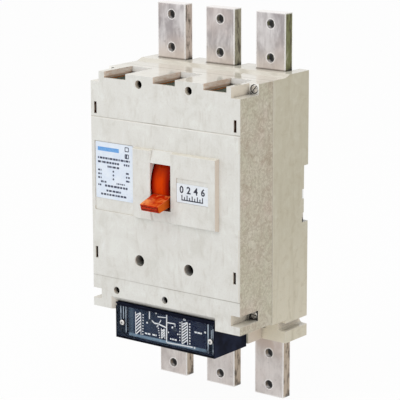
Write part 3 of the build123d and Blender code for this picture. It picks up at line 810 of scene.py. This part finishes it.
def panel_plastic():
    """Dark blue printed panel, greener and paler at the left, with a pale reflected lower lip."""
    material, tree, shader = new_material("trip_panel")
    place = place_of(tree)
    across = axis_of(tree, place, 0)
    cloud = noise(tree, stretched(tree, place, 1.0, 1.0, 0.4), 75.0, 4.0, 0.6, 0.5)
    tone = mix(tree, fade(tree, across, PANEL_HUE_FADE), color(36, 50, 68), color(16, 18, 44))
    tone = mix(tree, ramp(tree, cloud, 0.42, 0.70, 0.0, 0.6), tone, color(44, 54, 80))
    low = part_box("trip_unit_panel")[0].z / MM
    edge = (low + PANEL_LIP[0], low + PANEL_LIP[1])
    lip = fade(tree, axis_of(tree, place, 2), edge, 1.0, 0.0)
    lip = product(tree, lip, fade(tree, across, PANEL_LIP_FADE, 1.0, 0.60))
    lip = product(tree, lip, ramp(tree, cloud, 0.25, 0.60, 1.0, 0.70))
    tone = mix(tree, lip, tone, color(152, 180, 202))
    pale = fade(tree, across, PANEL_PALE_FADE, 1.0, 0.0)
    pale = product(tree, pale, ramp(tree, cloud, 0.35, 0.60), 0.35)
    tone = mix(tree, pale, tone, color(104, 124, 136))
    setup(shader, Specular_IOR_Level=0.05, IOR=1.5)
    rough = ramp(tree, cloud, 0.2, 0.8, 0.35, 0.5)
    connect(tree, shader, Base_Color=tone, Roughness=rough, Normal=bump(tree, cloud, 0.1, 0.0002))
    return material


def clear_window():
    """Clear plastic, thin, with faint swirls and a polished face."""
    material, tree, shader = new_material("trip_window")
    place = place_of(tree)
    cloud = noise(tree, place, 40.0, 3.0, 0.6)
    tone = mix(tree, ramp(tree, cloud, 0.3, 0.7), color(70, 92, 122), color(150, 170, 194))
    # Painted highlight on the window's edges
    tone = mix(tree, product(tree, edge_mask(tree, 0.0006), 0.8), tone, color(220, 230, 240))
    setup(shader, Alpha=0.045, IOR=1.49, Specular_IOR_Level=0.2)
    connect(tree, shader, Base_Color=tone, Roughness=ramp(tree, cloud, 0.2, 0.8, 0.05, 0.12))
    return material


def moulded_glint():
    """Opaque pale bluish strips, streaky along their length, as painted glints of the window's moulded
    flutes.
    """
    material, tree, shader = new_material("window_glint")
    place = place_of(tree)
    streaks = noise(tree, stretched(tree, place, 1.0, 1.0, 0.3), 330.0, 4.0, 0.7)
    tone = mix(tree, ramp(tree, streaks, 0.46, 0.66), color(196, 210, 224), color(44, 54, 74))
    setup(shader, IOR=1.49)
    connect(tree, shader, Base_Color=tone, Roughness=ramp(tree, streaks, 0.2, 0.8, 0.1, 0.2))
    return material


def plated_steel(name, tone, darker):
    """Zinc-plated steel of screws, with a turned grain, painted shade in its recesses and on its side faces,
    and painted highlights on its edges.
    """
    material, tree, shader = new_material(name)
    place = place_of(tree)
    cloud = noise(tree, place, 420.0, 3.0)
    base = mix(tree, ramp(tree, cloud, 0.35, 0.65), tone, darker)
    # Painted shade in recesses and on side faces, painted highlight on edges
    base = mix(tree, hollow_mask(tree, 0.002, 0.15, 0.60), base, color(50, 46, 42), "MULTIPLY")
    rim = facing(tree, 1, 0, 0.25, 0.60)
    base = mix(tree, math_of(tree, "SUBTRACT", 1.0, rim), base, color(52, 50, 50))
    base = mix(tree, product(tree, edge_mask(tree, 0.0003), 0.6), base, color(248, 248, 250))
    rough = ramp(tree, cloud, 0.2, 0.8, 0.18, 0.34)
    fine = noise(tree, place, 1500.0, 2.0)
    setup(shader, Metallic=0.7)
    connect(tree, shader, Base_Color=base, Roughness=rough, Normal=bump(tree, fine, 0.1, 0.0001))
    return material


def label_foil(name, tone, shade):
    """Printed foil plate, pale blue-white with a faint sheen and slight unevenness."""
    material, tree, shader = new_material(name)
    place = place_of(tree)
    cloud = noise(tree, place, 70.0, 4.0, 0.6)
    base = mix(tree, ramp(tree, cloud, 0.35, 0.70, 0.0, 0.8), tone, shade)
    fine = noise(tree, place, 500.0, 3.0)
    base = mix(tree, ramp(tree, fine, 0.52, 0.75, 0.0, 0.35), base, color(188, 200, 220))
    base = mix(tree, product(tree, edge_mask(tree, 0.0004), 0.5), base, color(190, 194, 200))
    rough = ramp(tree, cloud, 0.2, 0.8, 0.30, 0.42)
    setup(shader, Specular_IOR_Level=0.35, IOR=1.45)
    connect(tree, shader, Base_Color=base, Roughness=rough, Normal=bump(tree, cloud, 0.06, 0.0004))
    return material


def fibre_board():
    """Pressed fibre of the arc chutes: brown cheeks and dark greenish plates."""
    material, tree, shader = new_material("chute_fibre")
    place = place_of(tree)
    grain = noise(tree, stretched(tree, place, 1.0, 1.0, 5.0), 300.0, 4.0, 0.7)
    cheek = mix(tree, ramp(tree, grain, 0.3, 0.75), color(186, 112, 44), color(118, 66, 26))
    plate = mix(tree, ramp(tree, grain, 0.3, 0.75), color(96, 104, 88), color(48, 56, 48))
    tone = mix(tree, facing(tree, 0, 0, 0.5, 0.8), plate, cheek)
    rough = ramp(tree, grain, 0.2, 0.8, 0.55, 0.8)
    setup(shader, IOR=1.45)
    connect(tree, shader, Base_Color=tone, Roughness=rough, Normal=bump(tree, grain, 0.4, 0.0004))
    return material


def ink(name, tone, faded):
    """Printing ink, a little uneven."""
    material, tree, shader = new_material(name)
    cloud = noise(tree, place_of(tree), 500.0, 3.0)
    base = mix(tree, ramp(tree, cloud, 0.4, 0.75, 0.0, 0.7), tone, faded)
    connect(tree, shader, Base_Color=base, Roughness=ramp(tree, cloud, 0.2, 0.8, 0.4, 0.6))
    return material


def make_materials():
    """Every finish under the record's slot name."""
    black = (color(17, 21, 36), color(40, 46, 68), color(48, 56, 76), 0.04)
    white = (color(60, 66, 80), color(84, 92, 106), color(200, 204, 210), 0.1)
    return {
        "cover_ivory": case_plastic("cover_ivory", swirled_side, -1.0),
        "base_beige": case_plastic("base_beige", plain_side, 1.0),
        "handle_red": handle_red(),
        "shaft_steel": plated_steel("shaft_steel", color(186, 186, 188), color(150, 150, 152)),
        "trip_black": dark_plastic("trip_black", *black),
        "trip_panel": panel_plastic(),
        "trip_window": clear_window(),
        "adjuster_white": dark_plastic("adjuster_white", *white),
        "screw_steel": plated_steel("screw_steel", color(246, 244, 240), color(178, 176, 174)),
        "terminal_tinned": tinned_metal(),
        "chute_fibre": fibre_board(),
        "name_plate_face": label_foil("name_plate_face", color(230, 238, 248), color(216, 227, 243)),
        "rating_plate_face": label_foil("rating_plate_face", color(234, 238, 242), color(222, 229, 238)),
    }


def dress_nodes(materials):
    """Gives each CAD node the finish of its own slot, which its packed material is named after."""
    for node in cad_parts.values():
        for place in node.material_slots:
            place.material = materials[place.material.name.split(".")[0]]


def bar_between(bm, start, end, width, front):
    """Flat printed line between two places given as X and Z in millimetres."""
    first = Vector((start[0], start[1]))
    second = Vector((end[0], end[1]))
    along = (second - first).normalized()
    across = Vector((-along.y, along.x)) * width / 2
    corners = (first - across, second - across, second + across, first + across)
    back = [bm.verts.new((c.x * MM, front * MM, c.y * MM)) for c in corners]
    face = [bm.verts.new((c.x * MM, (front - INK_THICKNESS) * MM, c.y * MM)) for c in corners]
    bm.faces.new(face)
    bm.faces.new(back[::-1])
    for i in range(4):
        bm.faces.new((back[i], back[(i + 1) % 4], face[(i + 1) % 4], face[i]))


def disc(bm, x, z, radius, front, sides=DOT_SIDES):
    """Small printed dot."""
    turns = [2 * math.pi * i / sides for i in range(sides)]
    ring = [(x + radius * math.cos(t), z + radius * math.sin(t)) for t in turns]
    back = [bm.verts.new((c[0] * MM, front * MM, c[1] * MM)) for c in ring]
    face = [bm.verts.new((c[0] * MM, (front - INK_THICKNESS) * MM, c[1] * MM)) for c in ring]
    bm.faces.new(face)
    bm.faces.new(back[::-1])
    for i in range(sides):
        bm.faces.new((back[i], back[(i + 1) % sides], face[(i + 1) % sides], face[i]))


def finish_piece(name, bm, material, body="case"):
    """Object from a finished mesh, seated on its body and given its material."""
    bmesh.ops.recalc_face_normals(bm, faces=bm.faces)
    mesh = bpy.data.meshes.new(name)
    bm.to_mesh(mesh)
    bm.free()
    piece = bpy.data.objects.new(name, mesh)
    bpy.context.scene.collection.objects.link(piece)
    mesh.materials.append(material)
    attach(piece, body)
    return piece


def ladder(bm, left, right, top, bottom, rows, front):
    """Two upright rails with slanted rungs between them."""
    for rail in (left, right):
        bar_between(bm, (rail, top), (rail, bottom), RAIL_WIDTH, front)
    pitch = (top - bottom) / rows
    for i in range(rows):
        low = bottom + i * pitch
        high = min(low + RUNG_RISE * pitch, top)
        bar_between(bm, (left + RUNG_INSET, low), (right - RUNG_INSET, high), RUNG_WIDTH, front)


def dot_column(bm, start, end, count, radius, front):
    """Evenly spaced dots from one place to another."""
    for i in range(count):
        share = i / (count - 1)
        x = start[0] + share * (end[0] - start[0])
        z = start[1] + share * (end[1] - start[1])
        disc(bm, x, z, radius, front, COLUMN_DOT_SIDES)


def polyline(bm, places, width, front):
    """Printed line through several places."""
    for start, end in zip(places, places[1:]):
        bar_between(bm, start, end, width, front)


def panel_marks(material):
    """White tripping diagram, ladders, dots and dashes of the trip unit's panel."""
    bm = bmesh.new()
    front = front_of("trip_unit_panel")
    for left, right, top, bottom, rows in PANEL_LADDERS:
        ladder(bm, left, right, top, bottom, rows, front)
    for start, end, count, radius in PANEL_DOT_COLUMNS:
        dot_column(bm, start, end, count, radius, front)
    for width, places in PANEL_LINES:
        polyline(bm, places, width, front)
    for x, z, radius in PANEL_DOTS:
        disc(bm, x, z, radius, front)
    for left, right, z in PANEL_DASHES:
        dash_row(bm, left, right, z, PANEL_DASH_WIDTH, front, round(left))
    return finish_piece("trip_panel_marks", bm, material)


def window_flute_glints(material):
    """Painted glints of the upright moulded flutes at both ends of the window."""
    bm = bmesh.new()
    low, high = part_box("trip_unit_window")
    front = low.y / MM + WINDOW_THICKNESS
    top = high.z / MM
    bottom = low.z / MM
    for x, width, start, stop in WINDOW_FLUTE_GLINTS:
        high_end = bottom + start * (top - bottom)
        low_end = bottom + stop * (top - bottom)
        bar_between(bm, (x, high_end), (x, low_end), width, front + 2 * INK_THICKNESS)
    return finish_piece("window_flute_glints", bm, material)


def dash_row(bm, left, right, z, width, front, seed):
    """Row of short dashes of uneven length."""
    chooser = random.Random(seed)
    x = left
    while x < right - DASH_SHORTEST:
        length = min(chooser.uniform(*DASH_LENGTHS), right - x)
        bar_between(bm, (x, z), (x + length, z), width, front)
        x += length + chooser.uniform(*DASH_GAPS)


def name_plate_marks(material):
    """Plain ruled rows of the name plate."""
    bm = bmesh.new()
    front = front_of("name_plate")
    for left, right, z, width, seed in NAME_PLATE_ROWS:
        dash_row(bm, left, right, z, width, front, seed)
    for z in PLATE_DOT_HEIGHTS:
        disc(bm, PLATE_DOT_PLACE, z, PLATE_DOT_RADIUS, front, PLATE_DOT_SIDES)
    return finish_piece("name_plate_marks", bm, material)


def name_plate_header(material):
    """Plain pale blue band at the head of the name plate."""
    bm = bmesh.new()
    front = front_of("name_plate")
    bar_between(bm, BAND_START, BAND_END, BAND_WIDTH, front)
    return finish_piece("name_plate_header", bm, material)


def name_plate_squares(material):
    """Two small outlined squares at the upper right of the name plate, the lower one half filled."""
    bm = bmesh.new()
    front = front_of("name_plate")
    bar_between(bm, SQUARE_FILL[0], SQUARE_FILL[1], 2 * SQUARE_HALF, front)
    for z in SQUARE_MIDDLES:
        low = z - SQUARE_HALF
        high = z + SQUARE_HALF
        for level in (low, high):
            bar_between(bm, (SQUARE_LEFT, level), (SQUARE_RIGHT, level), SQUARE_LINE, front)
        for x in (SQUARE_LEFT, SQUARE_RIGHT):
            bar_between(bm, (x, low), (x, high), SQUARE_LINE, front)
    return finish_piece("name_plate_squares", bm, material)


def number(bm, text, middle, height, front):
    """Plain bold number with its middle at a place given as X and Z in millimetres."""
    curve = bpy.data.curves.new("number", "FONT")
    curve.body = text
    curve.size = height * MM / DIGIT_SHARE
    curve.offset = DIGIT_BOLDNESS * MM
    curve.extrude = INK_THICKNESS * MM / 2
    curve.resolution_u = 3
    curve.align_x = "CENTER"
    holder = bpy.data.objects.new("number", curve)
    bpy.context.scene.collection.objects.link(holder)
    mesh = bpy.data.meshes.new_from_object(holder.evaluated_get(bpy.context.evaluated_depsgraph_get()))
    depth = (front - INK_THICKNESS / 2) * MM
    foot = (middle[1] - height / 2) * MM
    mesh.transform(Matrix.Translation((middle[0] * MM, depth, foot)) @ Matrix.Rotation(math.pi / 2, 4, "X"))
    bm.from_mesh(mesh)
    bpy.data.objects.remove(holder)
    bpy.data.curves.remove(curve)
    bpy.data.meshes.remove(mesh)


def rating_plate_marks(material):
    """Plain even numbers over a scale of ticks on the rating plate."""
    bm = bmesh.new()
    front = front_of("rating_plate")
    low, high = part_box("rating_plate")
    middle = (low.x + high.x) / 2 / MM
    for i in range(NUMBER_COUNT):
        x = middle + NUMBER_PITCH * (i - (NUMBER_COUNT - 1) / 2)
        number(bm, str(2 * i), (x, NUMBER_MIDDLE), NUMBER_HEIGHT, front)
    for i in range(TICK_COUNT):
        x = middle + TICK_PITCH * (i - (TICK_COUNT - 1) / 2)
        height = TICK_LONG if i % 2 == 0 else TICK_SHORT
        bar_between(bm, (x, TICK_FOOT), (x, TICK_FOOT + height), TICK_WIDTH, front)
    bar_between(bm, (middle - SCALE_HALF, TICK_FOOT), (middle + SCALE_HALF, TICK_FOOT), TICK_WIDTH, front)
    return finish_piece("rating_plate_marks", bm, material)


def make_floor():
    """Pale floor under the terminal bars that looks nearly white to the camera."""
    low, _ = box_from_cad
    height = low.z - FLOOR_GAP
    bm = bmesh.new()
    signs = ((-1, -1), (1, -1), (1, 1), (-1, 1))
    bm.faces.new([bm.verts.new((x * FLOOR_HALF, y * FLOOR_HALF, height)) for x, y in signs])
    mesh = bpy.data.meshes.new("floor")
    bm.to_mesh(mesh)
    bm.free()
    floor = bpy.data.objects.new("floor", mesh)
    bpy.context.scene.collection.objects.link(floor)
    mesh.materials.append(floor_material())


def seen_directly(tree):
    """One for rays from the camera or by a mirror or through glass, else zero."""
    path = add(tree, "LightPath")
    seen = math_of(tree, "MAXIMUM", path.outputs["Is Camera Ray"], path.outputs["Is Glossy Ray"])
    return math_of(tree, "MAXIMUM", seen, path.outputs["Is Transmission Ray"])


def floor_material():
    """Pale matt floor, lifted towards white where it is seen."""
    material = bpy.data.materials.new("floor_pale")
    material.use_nodes = True
    tree = material.node_tree
    tree.nodes.clear()
    matt = add(tree, "BsdfDiffuse", {"Color": (0.86, 0.86, 0.85, 1)}).outputs[0]
    white = add(tree, "Emission", {"Color": (1, 1, 1, 1), "Strength": 1.0}).outputs[0]
    share = product(tree, seen_directly(tree), FLOOR_WHITE)
    surface = add(tree, "MixShader", {0: share, 1: matt, 2: white}).outputs[0]
    add(tree, "OutputMaterial", {"Surface": surface})
    return material


def make_world():
    """Even white surroundings: softer as light than as background."""
    world = bpy.data.worlds.new("studio")
    bpy.context.scene.world = world
    world.use_nodes = True
    tree = world.node_tree
    tree.nodes.clear()
    light = add(tree, "Background", {"Color": (1, 1, 1, 1), "Strength": WORLD_LEVEL}).outputs[0]
    backdrop = add(tree, "Background", {"Color": (1, 1, 1, 1), "Strength": 1.0}).outputs[0]
    surface = add(tree, "MixShader", {0: seen_directly(tree), 1: light, 2: backdrop}).outputs[0]
    add(tree, "OutputWorld", {"Surface": surface})


def make_lamp(name, direction, power, size):
    """Soft square lamp aimed at the part from a direction."""
    lamp = bpy.data.lights.new(name, "AREA")
    lamp.energy = power
    lamp.size = size
    holder = bpy.data.objects.new(name, lamp)
    bpy.context.scene.collection.objects.link(holder)
    away = Vector(direction).normalized()
    holder.location = CAMERA_TARGET + away * LAMP_DISTANCE
    holder.rotation_euler = away.to_track_quat("Z", "Y").to_euler()


def make_camera():
    """Camera at the photograph's place."""
    away = Vector(
        (
            math.sin(CAMERA_YAW) * math.cos(CAMERA_PITCH),
            -math.cos(CAMERA_YAW) * math.cos(CAMERA_PITCH),
            math.sin(CAMERA_PITCH),
        )
    )
    right = Vector((math.cos(CAMERA_YAW), math.sin(CAMERA_YAW), 0.0))
    up = away.cross(right)
    turned_right = right * math.cos(CAMERA_ROLL) + up * math.sin(CAMERA_ROLL)
    turned_up = up * math.cos(CAMERA_ROLL) - right * math.sin(CAMERA_ROLL)
    camera = bpy.data.cameras.new("camera")
    camera.sensor_width = SENSOR_WIDTH
    camera.lens = CAMERA_FOCAL_PIXELS / PICTURE_SIZE * camera.sensor_width
    camera.shift_x = -CAMERA_SHIFT_PIXELS / PICTURE_SIZE
    camera.clip_end = CAMERA_REACH
    holder = bpy.data.objects.new("camera", camera)
    bpy.context.scene.collection.objects.link(holder)
    turn = Matrix((turned_right, turned_up, away)).transposed().to_4x4()
    holder.matrix_world = Matrix.Translation(CAMERA_TARGET + away * CAMERA_DISTANCE) @ turn
    bpy.context.scene.camera = holder


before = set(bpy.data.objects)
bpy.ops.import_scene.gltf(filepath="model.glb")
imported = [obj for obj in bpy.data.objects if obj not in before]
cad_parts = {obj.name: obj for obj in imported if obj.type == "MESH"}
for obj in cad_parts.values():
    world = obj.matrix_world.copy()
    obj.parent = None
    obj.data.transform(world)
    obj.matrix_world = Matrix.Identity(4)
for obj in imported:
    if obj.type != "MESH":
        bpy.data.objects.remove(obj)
box_from_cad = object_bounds()
finishes = make_materials()
dress_nodes(finishes)
white_ink = ink("white_ink", color(253, 254, 255), color(222, 232, 243))
grey_ink = ink("grey_ink", color(30, 36, 62), color(84, 94, 124))
blue_ink = ink("blue_ink", color(96, 158, 222), color(140, 184, 232))
black_ink = ink("black_ink", color(18, 20, 44), color(44, 48, 76))
panel_marks(white_ink)
window_flute_glints(moulded_glint())
name_plate_marks(grey_ink)
name_plate_header(blue_ink)
name_plate_squares(grey_ink)
rating_plate_marks(black_ink)
make_floor()
make_world()
make_lamp("key_lamp", KEY_DIRECTION, KEY_POWER, KEY_SIZE)
make_lamp("top_lamp", TOP_DIRECTION, TOP_POWER, TOP_SIZE)
make_camera()
bpy.context.scene.view_settings.view_transform = "Standard"
